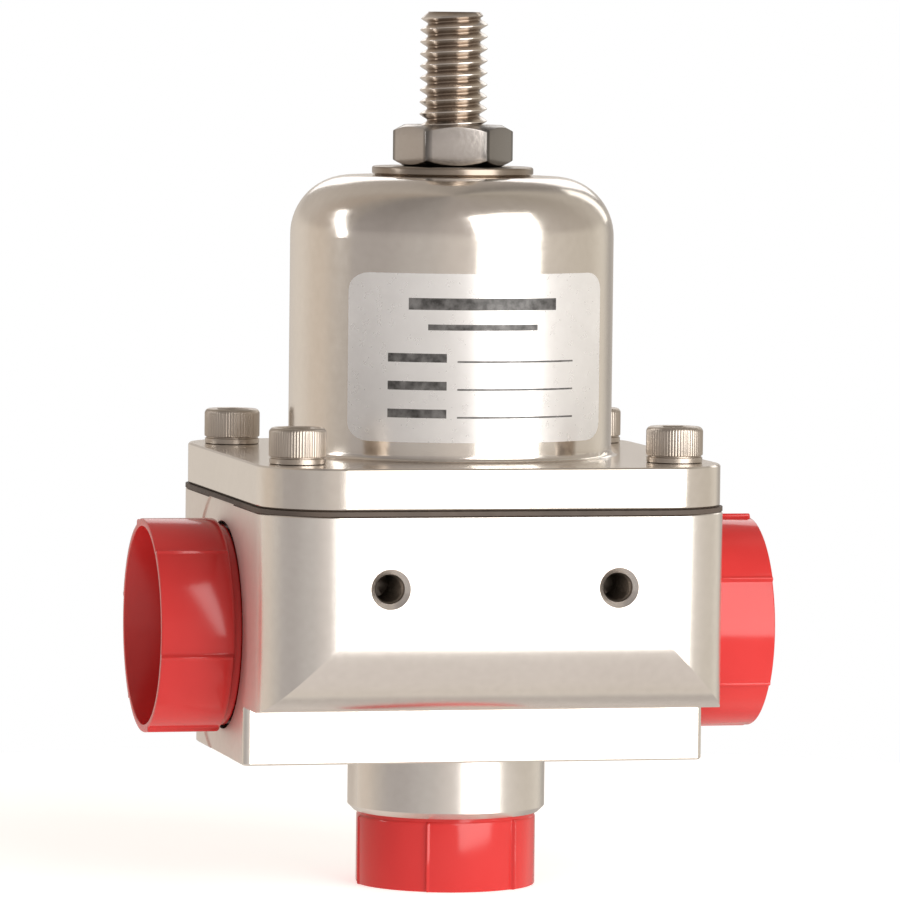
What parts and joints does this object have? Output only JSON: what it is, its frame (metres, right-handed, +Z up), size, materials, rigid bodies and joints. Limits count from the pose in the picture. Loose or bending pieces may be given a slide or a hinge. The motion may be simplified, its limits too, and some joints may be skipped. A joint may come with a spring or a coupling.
{
  "type": "adjustable bypass pressure regulator",
  "caption": "Diaphragm pressure regulator with a spring bonnet, adjusting screw with jam nut, bolted machined body and threaded ports closed by ribbed plugs.",
  "frame": {"origin": "on the main axis, at the plane that the rim of the bottom port plug stands on", "axes": "+Z up along the adjusting screw; -Y is the front face with the two bracket holes; the side ports lie along X"},
  "size_m": [0.0734, 0.0578, 0.1028],
  "materials": {
    "aluminium": "satin machined, fine lay",
    "label_foil": "satin printed foil",
    "diaphragm_rubber": "matt fabric-backed rubber",
    "stainless": "bright rolled stainless",
    "zinc_steel": "zinc plated",
    "ball_steel": "polished bearing steel",
    "brass": "turned",
    "o_ring_rubber": "smooth black rubber",
    "spring_steel": "oiled music wire",
    "red_plastic": "glossy moulded polyethylene"
  },
  "bodies": {
    "root": {"housing": "aluminium", "bonnet": "aluminium", "diaphragm": "diaphragm_rubber", "bonnet_screws": "stainless", "name_label": "label_foil", "valve_seat": "brass", "seat_o_ring": "o_ring_rubber", "main_spring": "spring_steel"},
    "spring_carrier": {"spring_button": "zinc_steel", "pivot_ball": "ball_steel"},
    "adjuster": {"adjusting_screw": "stainless"},
    "washer": {"seal_washer": "stainless"},
    "nut": {"jam_nut": "stainless"},
    "valve": {"valve_stem": "stainless", "diaphragm_upper_plate": "zinc_steel", "diaphragm_lower_plate": "zinc_steel", "stem_nut": "zinc_steel", "valve_ball": "ball_steel", "ball_retainer": "zinc_steel"},
    "left_ring": {"left_plug_o_ring": "o_ring_rubber"},
    "left_plug": {"left_port_plug": "red_plastic"},
    "right_ring": {"right_plug_o_ring": "o_ring_rubber"},
    "right_plug": {"right_port_plug": "red_plastic"},
    "bottom_ring": {"bottom_plug_o_ring": "o_ring_rubber"},
    "bottom_plug": {"bottom_port_plug": "red_plastic"}
  },
  "joints": [
    {"name": "spring_adjust", "type": "slide", "parent": "root", "child": "spring_carrier", "axis": [0, 0, 1], "range_m": [-0.00847, 0.00212], "deforming": ["main_spring"]},
    {"name": "screw_turn", "type": "hinge", "parent": "spring_carrier", "child": "adjuster", "pos_m": [0, 0, 0.09], "axis": [0, 0, 1], "range_deg": [-2161, 541]},
    {"name": "nut_lift", "type": "slide", "parent": "root", "child": "washer", "axis": [0, 0, 1], "range_m": [0, 0.00282]},
    {"name": "nut_turn", "type": "hinge", "parent": "washer", "child": "nut", "pos_m": [0, 0, 0.0868], "axis": [0, 0, 1], "range_deg": [0, 720]},
    {"name": "valve_lift", "type": "slide", "parent": "root", "child": "valve", "axis": [0, 0, 1], "range_m": [0, 0.0012], "stiffness_N_per_m": 2000, "springref_m": -0.002, "deforming": ["diaphragm"]},
    {"name": "left_plug_pull", "type": "slide", "parent": "root", "child": "left_ring", "axis": [-1, 0, 0], "range_m": [0, 0.00907]},
    {"name": "left_plug_turn", "type": "hinge", "parent": "left_ring", "child": "left_plug", "pos_m": [-0.03, 0, 0.0308], "axis": [-1, 0, 0], "range_deg": [0, 1800]},
    {"name": "right_plug_pull", "type": "slide", "parent": "root", "child": "right_ring", "axis": [1, 0, 0], "range_m": [0, 0.00907]},
    {"name": "right_plug_turn", "type": "hinge", "parent": "right_ring", "child": "right_plug", "pos_m": [0.03, 0, 0.0308], "axis": [1, 0, 0], "range_deg": [0, 1800]},
    {"name": "bottom_plug_pull", "type": "slide", "parent": "root", "child": "bottom_ring", "axis": [0, 0, -1], "range_m": [0, 0.00794]},
    {"name": "bottom_plug_turn", "type": "hinge", "parent": "bottom_ring", "child": "bottom_plug", "pos_m": [0, 0, 0.004], "axis": [0, 0, -1], "range_deg": [0, 1800]}
  ],
  "couplings": [
    {"joint": "screw_turn", "follows": "spring_adjust", "rad_per_m": 4452.7},
    {"joint": "nut_lift", "follows": "nut_turn", "m_per_rad": 0.00022458},
    {"joint": "left_plug_pull", "follows": "left_plug_turn", "m_per_rad": 0.00028875},
    {"joint": "right_plug_pull", "follows": "right_plug_turn", "m_per_rad": 0.00028875},
    {"joint": "bottom_plug_pull", "follows": "bottom_plug_turn", "m_per_rad": 0.00025266}
  ]
}
